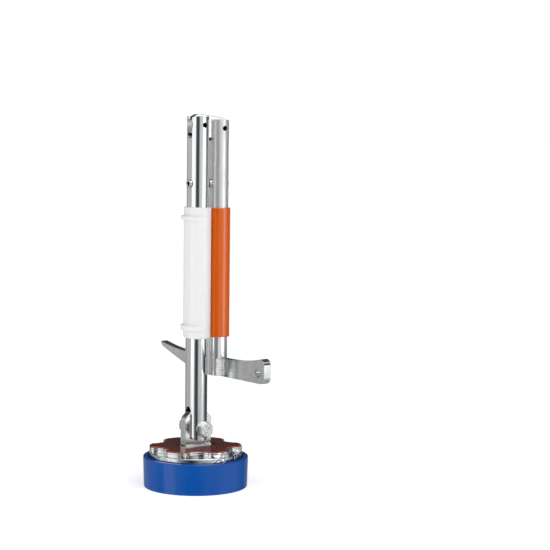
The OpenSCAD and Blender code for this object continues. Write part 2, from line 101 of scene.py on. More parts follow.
def surface(tree, tint=None, gloss=None, relief=()):
    """Feeds a material's shader with what changes from place to place.

    tint is a pattern and its colour stops, gloss a pattern and the roughness at its ends (0 and 1, or
    the two values that follow), and relief has layers of a pattern, its strength and its depth.
    """
    feeds = {}
    if tint:
        pattern, *stops = tint
        colours = [(position, linear(colour)) for position, colour in stops]
        feeds["Base Color"] = add(tree, "ShaderNodeValToRGB", {"stops": colours, "Fac": pattern})
    if gloss:
        pattern, first, last, start, end = (*gloss, 0.0, 1.0)[:5]
        feeds["Roughness"] = add(tree, "ShaderNodeMapRange", {
            "From Min": start, "From Max": end, "To Min": first, "To Max": last, "Value": pattern,
        })
    for pattern, strength, depth in relief:
        layer = {"Strength": strength, "Distance": depth, "Height": pattern}
        if "Normal" in feeds:
            layer["Normal"] = feeds["Normal"]
        feeds["Normal"] = add(tree, "ShaderNodeBump", layer)
    for socket, node in feeds.items():
        tree.links.new(node.outputs[0], tree.nodes["Principled BSDF"].inputs[socket])


def rounded(corners, steps=5):
    """The points of a closed outline whose (x, y, radius) corners are rounded off."""
    path = []
    for i, (x, y, radius) in enumerate(corners):
        corner = Vector((x, y))
        back = (Vector(corners[i - 1][:2]) - corner).normalized()
        ahead = (Vector(corners[(i + 1) % len(corners)][:2]) - corner).normalized()
        if radius == 0:
            path.append(corner)
            continue
        half = back.angle(ahead) / 2
        centre = corner + (back + ahead).normalized() * (radius / math.sin(half))
        first = (corner + back * (radius / math.tan(half)) - centre).normalized()
        last = (corner + ahead * (radius / math.tan(half)) - centre).normalized()
        path += [centre + first.slerp(last, k / steps) * radius for k in range(steps + 1)]
    return path


def put(name, data):
    """A new object in the scene with this mesh or camera."""
    made = bpy.data.objects.new(name, data)
    bpy.context.scene.collection.objects.link(made)
    return made


def applied(holder):
    """The plain mesh that an object's modifiers give; the object goes."""
    done = bpy.data.meshes.new_from_object(holder.evaluated_get(bpy.context.evaluated_depsgraph_get()))
    bpy.data.objects.remove(holder)
    return done


def smooth(mesh, degrees=SHARP_DEGREES):
    """A mesh shaded smooth, with its edges kept sharp from this angle on and its flats kept flat."""
    mesh.shade_smooth()
    mesh.set_sharp_from_angle(angle=math.radians(degrees))
    holder = put(mesh.name, mesh)
    holder.modifiers.new("flats kept flat", "WEIGHTED_NORMAL").keep_sharp = True
    done = applied(holder)
    bpy.data.meshes.remove(mesh)
    return done


def built(shape, name):
    """The mesh of a shape that was put together face by face; the shape goes."""
    mesh = bpy.data.meshes.new(name)
    shape.to_mesh(mesh)
    shape.free()
    return mesh


def lathe(name, profile, steps=160):
    """A closed mesh turned round Z from a closed profile of (radius, height) points."""
    shape = bmesh.new()
    turns = [2 * math.pi * i / steps for i in range(steps)]
    rings = []
    for radius, height in profile:
        if radius < ON_AXIS:
            rings.append([shape.verts.new((0, 0, height))] * steps)
        else:
            rings.append([
                shape.verts.new((radius * math.cos(a), radius * math.sin(a), height)) for a in turns
            ])
    for ring, after in zip(rings, rings[1:] + rings[:1]):
        for i in range(steps):
            j = (i + 1) % steps
            corners = list(dict.fromkeys((ring[i], ring[j], after[j], after[i])))
            if len(corners) > 2:
                shape.faces.new(corners)
    bmesh.ops.recalc_face_normals(shape, faces=shape.faces)
    return smooth(built(shape, name))


def show(name, mesh, material, body, slot, *nodes):
    """Puts a finished mesh in the scene: its finish, the body it rides on and the nodes it stands for."""
    piece = put(name, mesh)
    if material:
        mesh.materials.clear()
        mesh.materials.append(material)
    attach(piece, body)
    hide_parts(*nodes)
    return piece


pot_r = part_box("magnet_pot")[1].x
cap_rim_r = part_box("protective_cap")[1].x
cap_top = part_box("protective_cap")[1].z
cap_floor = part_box("keeper_plate")[0].z
CAP_DRAFT = 0.8 * MM
POT_CLEARANCE = 0.8 * MM
LEAD_IN = 1.1 * MM
LEAD_IN_DEPTH = 2.4 * MM
FLOOR_ROUND = 1.0 * MM
RIM_ROUND = 0.9 * MM
MOUTH_ROUND = 0.5 * MM
LEAD_IN_ROUND = 0.6 * MM
cap_bore_r = pot_r + POT_CLEARANCE
cap_profile = rounded([
    (0, 0, 0),
    (cap_rim_r - CAP_DRAFT, 0, FLOOR_ROUND),
    (cap_rim_r, cap_top, RIM_ROUND),
    (cap_bore_r + LEAD_IN, cap_top, MOUTH_ROUND),
    (cap_bore_r, cap_top - LEAD_IN_DEPTH, LEAD_IN_ROUND),
    (cap_bore_r, cap_floor, FLOOR_ROUND),
    (0, cap_floor, 0),
])

# Polypropylene, moulded: an even blue with a soft gloss, faint flow clouds and a fine peel.
blue_polypropylene, tree, place = start_material("moulded_blue_polypropylene", {"IOR": 1.49})
flow_width = 30 * MM
peel_width = 1.2 * MM
flow = add(tree, "ShaderNodeTexNoise", {"Scale": 1 / flow_width, "Detail": 3.0, "Vector": place})
peel = add(tree, "ShaderNodeTexNoise", {"Scale": 1 / peel_width, "Detail": 2.0, "Vector": place})
surface(
    tree, tint=(flow, (0.35, "#064D9F"), (0.65, "#0952A7")), gloss=(flow, 0.08, 0.15),
    relief=[(peel, 0.5, 0.01 * MM)]
)
show(
    "cap_moulding", lathe("cap_moulding", cap_profile), blue_polypropylene,
    "cap", "blue_plastic", "protective_cap"
)


# Magnet: steel keeper disc on the cap's floor, ring magnet, centre pole, its screw and the resin cover.
# All of it sits inside cap and pot, so the solids stay as they are and get their real finishes.


def finish_node(node, material):
    """Gives a solid that stays in view its finish."""
    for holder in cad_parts[node].material_slots:
        holder.material = material


# Steel, face-ground: mid grey with rings left by the wheel, drawn 1.5 mm apart so that they show.
# The wave pattern repeats every 0.314 m at a scale of 1, which gives the scale for a gap.
WAVE_LENGTH = 0.314
ground_steel, tree, place = start_material(
    "ground_steel", {"Metallic": 1.0, "Base Color": linear("#8D9093")}
)
ring_gap = 1.5 * MM
rings = add(tree, "ShaderNodeTexWave", {
    "wave_type": "RINGS", "rings_direction": "Z", "Scale": WAVE_LENGTH / ring_gap, "Distortion": 1.5,
    "Vector": place,
}).outputs["Fac"]
surface(tree, gloss=(rings, 0.28, 0.42), relief=[(rings, 0.4, 0.01 * MM)])
finish_node("keeper_plate", ground_steel)
finish_node("pole_core", ground_steel)

# Ferrite, pressed and sintered: matt charcoal with a mealy speckle.
ferrite, tree, place = start_material("sintered_ferrite", {"Roughness": 0.75, "IOR": 2.0})
grit = 0.8 * MM
meal = add(tree, "ShaderNodeTexNoise", {"Scale": 1 / grit, "Detail": 4.0, "Vector": place})
surface(tree, tint=(meal, (0.3, "#232325"), (0.7, "#3C3B3C")), relief=[(meal, 0.5, 0.08 * MM)])
finish_node("ring_magnet", ferrite)

# Epoxy, cast black: dull skin with pin-head dimples where bubbles broke.
cast_epoxy, tree, place = start_material("cast_black_epoxy", {"IOR": 1.55})
dimple_gap = 4 * MM
dimples = add(tree, "ShaderNodeTexVoronoi", {"Scale": 1 / dimple_gap, "Vector": place})
surface(tree, tint=(dimples, (0.05, "#0C0C0D"), (0.3, "#1B1B1D")), gloss=(dimples, 0.6, 0.4))
finish_node("magnet_potting", cast_epoxy)

# Steel, black oxide: oiled blue-black with slightly browner worn patches.
black_oxide, tree, place = start_material("black_oxide_steel", {"Metallic": 1.0, "Roughness": 0.38})
patch_width = 3 * MM
patches = add(tree, "ShaderNodeTexNoise", {"Scale": 1 / patch_width, "Detail": 4.0, "Vector": place})
surface(tree, tint=(patches, (0.35, "#2B2C30"), (0.7, "#4A4745")))
finish_node("core_screw", black_oxide)
finish_node("plate_screws", black_oxide)


# Magnet pot: a cup turned from steel and bright zinc plated, its upper edge bare above the cap.
# The solid is right, so a copy of it gets the small chamfers that turning leaves.

MERGE_GAP = 0.001 * MM
FLAT_WITHIN = math.radians(0.2)
POT_EDGE = 0.6 * MM


def edged(mesh, width, segments=2):
    """A mesh with its sharp edges broken by a small round, shaded with its flats kept flat."""
    holder = put(mesh.name, smooth(mesh))
    bevel = holder.modifiers.new("broken edges", "BEVEL")
    bevel.width = width
    bevel.segments = segments
    bevel.limit_method = "ANGLE"
    bevel.angle_limit = math.radians(SHARP_DEGREES)
    holder.modifiers.new("flats kept flat", "WEIGHTED_NORMAL").keep_sharp = True
    return applied(holder)


def edged_copy(node, width, segments=2):
    """A copy of a solid, merged to whole faces, with its sharp edges broken."""
    shape = bmesh.new()
    shape.from_mesh(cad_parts[node].data)
    bmesh.ops.remove_doubles(shape, verts=shape.verts, dist=MERGE_GAP)
    bmesh.ops.dissolve_limit(shape, angle_limit=FLAT_WITHIN, verts=shape.verts, edges=shape.edges)
    mesh = built(shape, node + "_copy")
    for name in ("custom_normal", "sharp_face", "sharp_edge"):
        if name in mesh.attributes:
            mesh.attributes.remove(mesh.attributes[name])
    return edged(mesh, width, segments)


# Steel, turned and bright zinc plated: mirror-like, faintly blue, with fine turning lines round it,
# drawn 0.5 mm apart so that they show, and dents towards +X, where the head was knocked in use.
bright_zinc, tree, place = start_material("turned_bright_zinc", {"Metallic": 1.0})
cloud_width = 9 * MM
line_gap = 0.5 * MM
dent_width = 4.5 * MM
clouds = add(tree, "ShaderNodeTexNoise", {"Scale": 1 / cloud_width, "Detail": 4.0, "Vector": place})
lines = add(tree, "ShaderNodeTexWave", {
    "bands_direction": "Z", "Scale": WAVE_LENGTH / line_gap, "Distortion": 2.0, "Detail": 2.0,
    "Vector": place,
}).outputs["Fac"]
dents = add(tree, "ShaderNodeTexNoise", {"Scale": 1 / dent_width, "Detail": 2.0, "Vector": place})
sideways = add(tree, "ShaderNodeSeparateXYZ", {"Vector": place}).outputs["X"]
hardness = add(tree, "ShaderNodeMapRange", {
    "From Min": -16 * MM, "From Max": 14 * MM, "To Min": 0.06, "To Max": 1.0, "Value": sideways,
})
surface(
    tree, tint=(clouds, (0.3, "#D3D8DC"), (0.7, "#EBECEA")), gloss=(clouds, 0.03, 0.1),
    relief=[(lines, 0.35, 0.01 * MM), (dents, hardness, 1.7 * MM)]
)
show(
    "pot_turning", edged_copy("magnet_pot", POT_EDGE), bright_zinc,
    "magnet_head", "zinc_steel", "magnet_pot"
)


# Lobed plate: two steel sheets, 5 mm in all, cut with six lobes, screwed on the pot and zinc plated.
# One lobe's edge is drawn from arcs and set round six times, then filled and raised to each thickness.


def start_tree(name, inputs):
    """A Geometry Nodes tree with named inputs, and the sockets that give them."""
    tree = bpy.data.node_groups.new(name, "GeometryNodeTree")
    for title, kind in inputs.items():
        tree.interface.new_socket(title, in_out="INPUT", socket_type="NodeSocket" + kind)
    tree.interface.new_socket("Geometry", in_out="OUTPUT", socket_type="NodeSocketGeometry")
    return tree, add(tree, "NodeGroupInput").outputs


def bake(tree, values, start=None):
    """The plain mesh that a tree makes from these values, and from a start mesh where it takes one."""
    holder = put(tree.name, start or bpy.data.meshes.new(tree.name))
    modifier = holder.modifiers.new(tree.name, "NODES")
    modifier.node_group = tree
    for socket in tree.interface.items_tree:
        if socket.in_out == "INPUT" and socket.name in values:
            modifier[socket.identifier] = values[socket.name]
    return applied(holder)


LOBES = 6
LOBE_STEP = 2 * math.pi / LOBES
LOBE_ARCS = {"First corner": 10, "Notch": 28, "Second corner": 10, "Rim": 28}
ARC_JOIN = 0.02 * MM
PAST_WINDOW = 0.7
disc_inputs = {
    "First notch": "Float", "Base height": "Float", "Thickness": "Float", "Cut-out length": "Float",
    "Cut-out width": "Float", "Face": "Material", "Edge": "Material",
}
for arc in LOBE_ARCS:
    disc_inputs.update({
        arc + " radius": "Float", arc + " start": "Float", arc + " sweep": "Float",
        arc + " centre": "Vector",
    })
lobed_disc, size = start_tree("lobed_disc", disc_inputs)
lobe = add(lobed_disc, "GeometryNodeJoinGeometry")
for arc, points in LOBE_ARCS.items():
    bow = add(lobed_disc, "GeometryNodeCurveArc", {
        "mode": "RADIUS", "Resolution": points, "Radius": size[arc + " radius"],
        "Start Angle": size[arc + " start"], "Sweep Angle": size[arc + " sweep"],
    })
    moved = add(
        lobed_disc, "GeometryNodeTransform", {"Geometry": bow, "Translation": size[arc + " centre"]}
    )
    lobed_disc.links.new(moved.outputs[0], lobe.inputs[0])
seats = add(lobed_disc, "GeometryNodePoints", {"Count": LOBES})
seat_turn = add(lobed_disc, "ShaderNodeMath", {
    "operation": "MULTIPLY_ADD", 0: add(lobed_disc, "GeometryNodeInputIndex"), 1: LOBE_STEP,
    2: size["First notch"],
})
turn = add(lobed_disc, "ShaderNodeCombineXYZ", {"Z": seat_turn})
around = add(
    lobed_disc, "GeometryNodeInstanceOnPoints", {"Points": seats, "Instance": lobe, "Rotation": turn}
)
loose = add(lobed_disc, "GeometryNodeRealizeInstances", {0: around})
edge_line = add(lobed_disc, "GeometryNodeCurveToMesh", {"Curve": loose})
whole = add(lobed_disc, "GeometryNodeMergeByDistance", {"Distance": ARC_JOIN, "Geometry": edge_line})
outline = add(lobed_disc, "GeometryNodeMeshToCurve", {"Mesh": whole})
window = add(
    lobed_disc, "GeometryNodeCurvePrimitiveQuadrilateral",
    {"Width": size["Cut-out length"], "Height": size["Cut-out width"]}
)
both = add(lobed_disc, "GeometryNodeJoinGeometry", {0: outline})
lobed_disc.links.new(window.outputs[0], both.inputs[0])
windowed = add(
    lobed_disc, "ShaderNodeMath", {"operation": "GREATER_THAN", 0: size["Cut-out length"], 1: 0.0}
)
chosen = add(
    lobed_disc, "GeometryNodeSwitch",
    {"input_type": "GEOMETRY", "Switch": windowed, "False": outline, "True": both}
)
face = add(lobed_disc, "GeometryNodeFillCurve", {"mode": "NGONS", 0: chosen})
raised = add(
    lobed_disc, "GeometryNodeExtrudeMesh",
    {"Individual": False, "Mesh": face, "Offset Scale": size["Thickness"]}
)
under = add(lobed_disc, "GeometryNodeFlipFaces", {0: face})
from_middle = add(
    lobed_disc, "ShaderNodeVectorMath",
    {"operation": "LENGTH", 0: add(lobed_disc, "GeometryNodeInputPosition")}
).outputs["Value"]
# Only side faces out past the window get the edge finish: on the red disc the window's cut edges keep the
# darker face finish, as painted shade.
window_reach = add(
    lobed_disc, "ShaderNodeMath", {"operation": "MULTIPLY", 0: size["Cut-out length"], 1: PAST_WINDOW}
)
outside = add(
    lobed_disc, "ShaderNodeMath", {"operation": "GREATER_THAN", 0: from_middle, 1: window_reach}
)
outer_side = add(
    lobed_disc, "ShaderNodeMath", {"operation": "MULTIPLY", 0: outside, 1: raised.outputs["Side"]}
)
painted = add(lobed_disc, "GeometryNodeSetMaterial", {"Geometry": raised, "Material": size["Face"]})
sided = add(
    lobed_disc, "GeometryNodeSetMaterial",
    {"Geometry": painted, "Selection": outer_side, "Material": size["Edge"]}
)
backed = add(lobed_disc, "GeometryNodeSetMaterial", {"Geometry": under, "Material": size["Face"]})
closed = add(lobed_disc, "GeometryNodeJoinGeometry", {0: sided})
lobed_disc.links.new(backed.outputs[0], closed.inputs[0])
welded = add(lobed_disc, "GeometryNodeMergeByDistance", {"Distance": MERGE_GAP, "Geometry": closed})
lift = add(lobed_disc, "ShaderNodeCombineXYZ", {"Z": size["Base height"]})
lifted = add(lobed_disc, "GeometryNodeTransform", {"Geometry": welded, "Translation": lift})
real = add(lobed_disc, "GeometryNodeRealizeInstances", {0: lifted})
add(lobed_disc, "NodeGroupOutput", {0: real})

NOTCH_R = 13.5 * MM
NOTCH_DEPTH = 8.8 * MM
FIRST_NOTCH = math.radians(58.6)
LOBE_ROUND = 5 * MM
SHEET_SHARE = 0.68
SHEET_EDGE = 0.25 * MM


def lobe_values(rim, notch, corner, notch_x):
    """The lobed disc's arcs for these radii: each corner touches both the rim and the notch."""
    reach = rim - corner
    corner_angle = math.acos((reach**2 + notch_x**2 - (notch + corner) ** 2) / (2 * reach * notch_x))
    corner_x = reach * math.cos(corner_angle)
    corner_y = reach * math.sin(corner_angle)
    notch_angle = math.atan2(corner_y, corner_x - notch_x)
    corner_sweep = math.pi - notch_angle + corner_angle
    arcs = {
        "First corner": (corner, -corner_angle, corner_sweep, (corner_x, -corner_y, 0)),
        "Notch": (notch, notch_angle, 2 * (math.pi - notch_angle), (notch_x, 0, 0)),
        "Second corner": (corner, notch_angle - math.pi, corner_sweep, (corner_x, corner_y, 0)),
        "Rim": (rim, corner_angle, LOBE_STEP - 2 * corner_angle, (0, 0, 0)),
    }
    values = {"First notch": FIRST_NOTCH}
    for arc, (radius, start, sweep, centre) in arcs.items():
        values.update({
            arc + " radius": radius, arc + " start": start, arc + " sweep": sweep,
            arc + " centre": Vector(centre),
        })
    return values


plate_low, plate_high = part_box("lobed_plate")
plate_thickness = plate_high.z - plate_low.z
notch_centre = pot_r - NOTCH_DEPTH + NOTCH_R
plate_values = lobe_values(pot_r, NOTCH_R, LOBE_ROUND, notch_centre)
plate_values.update({"Face": bright_zinc, "Edge": bright_zinc})
stack = bmesh.new()
for bottom, top in ((0, SHEET_SHARE), (SHEET_SHARE, 1)):
    plate_values["Base height"] = plate_low.z + bottom * plate_thickness
    plate_values["Thickness"] = (top - bottom) * plate_thickness
    stack.from_mesh(edged(bake(lobed_disc, plate_values), SHEET_EDGE))
show(
    "lobed_cover", smooth(built(stack, "lobed_cover")), bright_zinc,
    "magnet_head", "zinc_steel", "lobed_plate"
)


# Covering disc: thin red-brown sheet, cut to the lobes with a window for the ear, and left bare.
# It is printed plastic glued on the plate, so its outer cut edge shows the brighter body colour.
# The cut edges of its window keep the darker face colour, as painted shade.

DISC_INSET = 2 * MM
DISC_EDGE = 0.12 * MM
disc_low, disc_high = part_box("top_label")

# Polycarbonate film, printed on the back: deep glossy red-brown, faintly mottled, nearly flat.
printed_film, tree, place = start_material("printed_red_film", {"IOR": 1.48})
mottle_width = 14 * MM
mottle = add(tree, "ShaderNodeTexNoise", {"Scale": 1 / mottle_width, "Detail": 3.0, "Vector": place})
surface(
    tree, tint=(mottle, (0.3, "#642A23"), (0.7, "#6F3129")), gloss=(mottle, 0.06, 0.14),
    relief=[(mottle, 0.4, 0.05 * MM)]
)

# The same film on its outer cut edge: orange-red and rougher, with nicks drawn 0.4 mm wide to show.
cut_film, tree, place = start_material("cut_red_film", {"Roughness": 0.45, "IOR": 1.58})
nick_width = 0.4 * MM
nicks = add(tree, "ShaderNodeTexNoise", {"Scale": 1 / nick_width, "Detail": 1.0, "Vector": place})
surface(tree, tint=(nicks, (0.35, "#B0442C"), (0.65, "#CF5A3C")))

disc_values = lobe_values(
    pot_r - DISC_INSET, NOTCH_R + DISC_INSET, LOBE_ROUND - DISC_INSET, notch_centre
)
disc_values.update({
    "Base height": disc_low.z, "Thickness": disc_high.z - disc_low.z,
    "Cut-out length": 38 * MM, "Cut-out width": 19 * MM, "Face": printed_film, "Edge": cut_film,
})
show(
    "red_disc", edged(bake(lobed_disc, disc_values), DISC_EDGE), None,
    "magnet_head", "label", "top_label"
)


# Lifting ear: 8 mm steel plate with a round head, welded upright on the lobed plate and zinc plated.
# The plate is a copy of its solid; the two fillet welds at its foot are lumpy beads along a seam.

# Steel plate, zinc plated: satin light grey with a fine drawn grain, drawn 0.35 mm wide to show.
satin_zinc, tree, place = start_material("satin_zinc_plate", {"Metallic": 1.0})
grain_width = 0.35 * MM
grain_run = 6 * MM
bloom_width = 7 * MM
stretched = add(tree, "ShaderNodeMapping", {
    "Scale": (1 / grain_width, 1 / grain_width, 1 / grain_run), "Vector": place,
})
grain = add(tree, "ShaderNodeTexNoise", {"Scale": 1.0, "Detail": 3.0, "Vector": stretched})
bloom = add(tree, "ShaderNodeTexNoise", {"Scale": 1 / bloom_width, "Detail": 4.0, "Vector": place})
surface(
    tree, tint=(bloom, (0.3, "#DCDFE0"), (0.7, "#EAEBEA")), gloss=(grain, 0.13, 0.22),
    relief=[(grain, 0.35, 0.006 * MM)]
)
PLATE_EDGE = 0.5 * MM
show(
    "ear_plate", edged_copy("lifting_ear", PLATE_EDGE, 3), satin_zinc,
    "magnet_head", "zinc_plate", "lifting_ear"
)


def end_tree(tree, shape, finish):
    """Ends a tree in real geometry with one finish."""
    real = add(tree, "GeometryNodeRealizeInstances", {0: shape})
    coated = add(tree, "GeometryNodeSetMaterial", {"Geometry": real, "Material": finish})
    add(tree, "NodeGroupOutput", {0: coated})


BEAD_STEP = 0.25 * MM
RIPPLE_POWER = 0.4
STRAY_WIDTH = 5 * MM
weld_bead, size = start_tree("weld_bead", {
    "Seams": "Geometry", "Bead radius": "Float", "Ripple gap": "Float", "Ripple height": "Float",
    "Lump width": "Float", "Lump height": "Float", "Wander": "Float", "Finish": "Material",
})
seam = add(weld_bead, "GeometryNodeMeshToCurve", {"Mesh": size["Seams"]})
fine = add(weld_bead, "GeometryNodeResampleCurve", {"mode": "LENGTH", "Length": BEAD_STEP, "Curve": seam})
along = add(weld_bead, "GeometryNodeSplineParameter").outputs
phase = add(
    weld_bead, "ShaderNodeMath", {"operation": "DIVIDE", 0: along["Length"], 1: size["Ripple gap"]}
)
saw = add(weld_bead, "ShaderNodeMath", {"operation": "FRACT", 0: phase})
hump = add(weld_bead, "ShaderNodeMath", {"operation": "POWER", 0: saw, 1: RIPPLE_POWER})
still_to_go = add(weld_bead, "ShaderNodeMath", {"operation": "SUBTRACT", 0: 1.0, 1: along["Factor"]})
nearest_end = add(
    weld_bead, "ShaderNodeMath", {"operation": "MINIMUM", 0: along["Factor"], 1: still_to_go}
)
crater = add(weld_bead, "ShaderNodeMapRange", {
    "interpolation_type": "SMOOTHSTEP", "From Max": 0.08, "To Min": 0.45, "To Max": 0.8,
    "Value": nearest_end,
})
rippled = add(
    weld_bead, "ShaderNodeMath",
    {"operation": "MULTIPLY_ADD", 0: hump, 1: size["Ripple height"], 2: crater}
)
lump_scale = add(weld_bead, "ShaderNodeMath", {"operation": "DIVIDE", 0: 1.0, 1: size["Lump width"]})
lumps = add(weld_bead, "ShaderNodeTexNoise", {"Detail": 1.0, "Scale": lump_scale})
rise = add(weld_bead, "ShaderNodeMapRange", {
    "From Min": 0.25, "From Max": 0.75, "To Min": 0.0, "To Max": size["Lump height"], "Value": lumps,
})
swell = add(weld_bead, "ShaderNodeMath", {"operation": "ADD", 0: rippled, 1: rise})
thick = add(weld_bead, "GeometryNodeSetCurveRadius", {"Curve": fine, "Radius": swell})
stray = add(weld_bead, "ShaderNodeTexNoise", {"Scale": 1 / STRAY_WIDTH, "Detail": 2.0}).outputs["Color"]
centred = add(
    weld_bead, "ShaderNodeVectorMath", {"operation": "SUBTRACT", 0: stray, 1: (0.5, 0.5, 0.5)}
)
strayed = add(
    weld_bead, "ShaderNodeVectorMath", {"operation": "SCALE", 0: centred, "Scale": size["Wander"]}
)
laid = add(weld_bead, "GeometryNodeSetPosition", {"Geometry": thick, "Offset": strayed})
section = add(
    weld_bead, "GeometryNodeCurvePrimitiveCircle", {"Resolution": 24, "Radius": size["Bead radius"]}
)
bead = add(
    weld_bead, "GeometryNodeCurveToMesh", {"Fill Caps": True, "Curve": laid, "Profile Curve": section}
)
end_tree(weld_bead, add(weld_bead, "GeometryNodeSetShadeSmooth", {0: bead}), size["Finish"])


def seams_mesh(name, lines):
    """The straight seams of a joint, as the loose edges that the bead follows."""
    mesh = bpy.data.meshes.new(name)
    ends = [point for line in lines for point in line]
    mesh.from_pydata(ends, [(2 * i, 2 * i + 1) for i in range(len(lines))], [])
    return mesh


# Weld metal, zinc plated: frosty and very bright, with dull grey pits between the lumps.
zinc_weld, tree, place = start_material("zinc_plated_weld", {"Metallic": 0.25})
pit_gap = 1.6 * MM
pits = add(tree, "ShaderNodeTexNoise", {"Scale": 1 / pit_gap, "Detail": 3.0, "Vector": place})
surface(
    tree, tint=(pits, (0.3, "#5F6466"), (0.4, "#FFFFFF")), gloss=(pits, 0.26, 0.08, 0.3, 0.6),
    relief=[(pits, 0.9, 0.3 * MM)]
)

weld_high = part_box("ear_welds")[1]
EAR_BEAD_R = 3 * MM
EAR_SEAM_END = 1.2 * MM
ear_seam_x = weld_high.x - EAR_SEAM_END
ear_seam_y = weld_high.y - EAR_BEAD_R
ear_seam_z = weld_high.z - EAR_BEAD_R
ear_seams = seams_mesh("ear_seams", [
    ((-ear_seam_x, side * ear_seam_y, ear_seam_z), (ear_seam_x, side * ear_seam_y, ear_seam_z))
    for side in (-1, 1)
])
ear_bead = bake(weld_bead, {
    "Bead radius": EAR_BEAD_R, "Ripple gap": 2.6 * MM, "Ripple height": 0.08, "Lump width": 2.8 * MM,
    "Lump height": 1.0, "Wander": 1.4 * MM, "Finish": zinc_weld,
}, ear_seams)
show("ear_beads", ear_bead, None, "magnet_head", "zinc_weld", "ear_welds")


# Lever tube: a steel pipe pressed flat-oval, slotted at both ends, drawn bright and zinc plated.
# A copy of the solid gets the thin broken edges of a deburred cut.

# Steel tube, drawn and bright zinc plated: a clear mirror with lengthwise lines and faint pits.
# The lines are drawn 0.5 mm wide, coarser than real ones, so that they show.
bright_tube, tree, place = start_material("drawn_bright_zinc_tube", {"Metallic": 1.0})
draw_width = 0.5 * MM
draw_run = 45 * MM
speckle_width = 1.5 * MM
stretched = add(tree, "ShaderNodeMapping", {
    "Scale": (1 / draw_width, 1 / draw_width, 1 / draw_run), "Vector": place,
})
drawn = add(tree, "ShaderNodeTexNoise", {"Scale": 1.0, "Detail": 3.0, "Vector": stretched})
speckle = add(tree, "ShaderNodeTexNoise", {"Scale": 1 / speckle_width, "Detail": 3.0, "Vector": place})
surface(
    tree, tint=(drawn, (0.3, "#D9DEE2"), (0.6, "#F0F1F0")), gloss=(speckle, 0.05, 0.15),
    relief=[(drawn, 0.5, 0.008 * MM), (speckle, 0.5, 0.012 * MM)]
)
TUBE_EDGE = 0.3 * MM
show(
    "lever_pipe", edged_copy("lever_tube", TUBE_EDGE), bright_tube, "lever", "bright_tube", "lever_tube"
)


# Lever grip: a white sleeve of soft vinyl pushed over the tube, with two finger stops on one side.
# It is lofted in rings round the tube's oval, which swell at the stops and dip at the mould seams.

tube_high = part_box("lever_tube")[1]
OVAL_R = tube_high.x
OVAL_HALF = tube_high.y - tube_high.x
RAY_DEGREES = 3
SEAM_RAY_DEGREES = (-2.4, -1.8, -1.2, -0.6, 0, 0.6, 1.2, 1.8, 2.4)


def oval_rays(seams):
    """Where a ring round the oval has its points: arc centre y, and the outward direction."""
    turns = {math.radians(RAY_DEGREES * i) for i in range(360 // RAY_DEGREES + 1)}
    for seam in seams:
        turns |= {seam + math.radians(d) for d in SEAM_RAY_DEGREES}
    rays = [(OVAL_HALF, a) for a in sorted(turns) if 0 <= a <= math.pi]
    rays += [(0.0, math.pi)]
    rays += [(-OVAL_HALF, a) for a in sorted(turns) if math.pi <= a <= 2 * math.pi]
    rays += [(0.0, 2 * math.pi)]
    return [(y, math.cos(a), math.sin(a)) for y, a in rays]


def sleeve(name, x, rays, rings):
    """A closed sleeve lofted through rings of (height, offset from the tube at a direction)."""
    shape = bmesh.new()
    loops = [
        [
            shape.verts.new((x + (OVAL_R + offset(c, s)) * c, y + (OVAL_R + offset(c, s)) * s, height))
            for y, c, s in rays
        ]
        for height, offset in rings
    ]
    for loop, after in zip(loops, loops[1:] + loops[:1]):
        for i in range(len(rays)):
            shape.faces.new((loop[i - 1], loop[i], after[i], after[i - 1]))
    bmesh.ops.recalc_face_normals(shape, faces=shape.faces)
    return smooth(built(shape, name), 50)


def flush(c, s):
    """A ring that lies on the tube."""
    return 0.0


def end_rings(end, radius, steps, offset):
    """The rings that round off a sleeve's end, from the tube on; a radius below 0 is for the top end."""
    turns = [math.pi / 2 * k / steps for k in range(steps + 1)]
    return [(end, flush)] + [
        (end + radius * (1 - math.cos(a)), offset(abs(radius) * (1 - math.sin(a)))) for a in turns
    ]


GRIP_WALL = 2.5 * MM
STOP_OUT = 3 * MM
STOP_SLOPE = 0.5 * MM
GROOVE = 0.4 * MM
GROOVE_HALF = math.radians(1.6)
SEAM_TURN = math.radians(42)
grip_seams = (math.pi / 2 - SEAM_TURN, 3 * math.pi / 2 + SEAM_TURN)


def grip_offset(inset, lip=0):
    """How far the white grip stands off the tube, by direction, on one ring."""
    def offset(c, s):
        turn = math.atan2(s, c) % (2 * math.pi)
        near = min(abs(turn - seam) for seam in grip_seams)
        groove = GROOVE * max(0.0, 1 - near / GROOVE_HALF)
        stand = max(0.0, -STOP_OUT * c - STOP_SLOPE * abs(s))
        return max(0.0, GRIP_WALL - inset - groove) + lip * stand
    return offset


FOOT_ROUND = 2 * MM
TOP_ROUND = 0.8 * MM
STOPS = ((149.3 * MM, 154.7 * MM), (253.5 * MM, 257.7 * MM))
LIP_STEPS = ((-0.5, 0.0), (0.0, 0.1), (0.05, 0.55), (0.3, 0.82), (0.8, 0.95), (1.5, 1.0))
grip_low, grip_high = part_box("lever_grip")
grip_rings = end_rings(grip_low.z, FOOT_ROUND, 6, grip_offset)
for bottom, top in STOPS:
    grip_rings += [(bottom + rise * MM, grip_offset(0, share)) for rise, share in LIP_STEPS]
    grip_rings += [(top - rise * MM, grip_offset(0, share)) for rise, share in reversed(LIP_STEPS)]
grip_rings += reversed(end_rings(grip_high.z, -TOP_ROUND, 4, grip_offset))

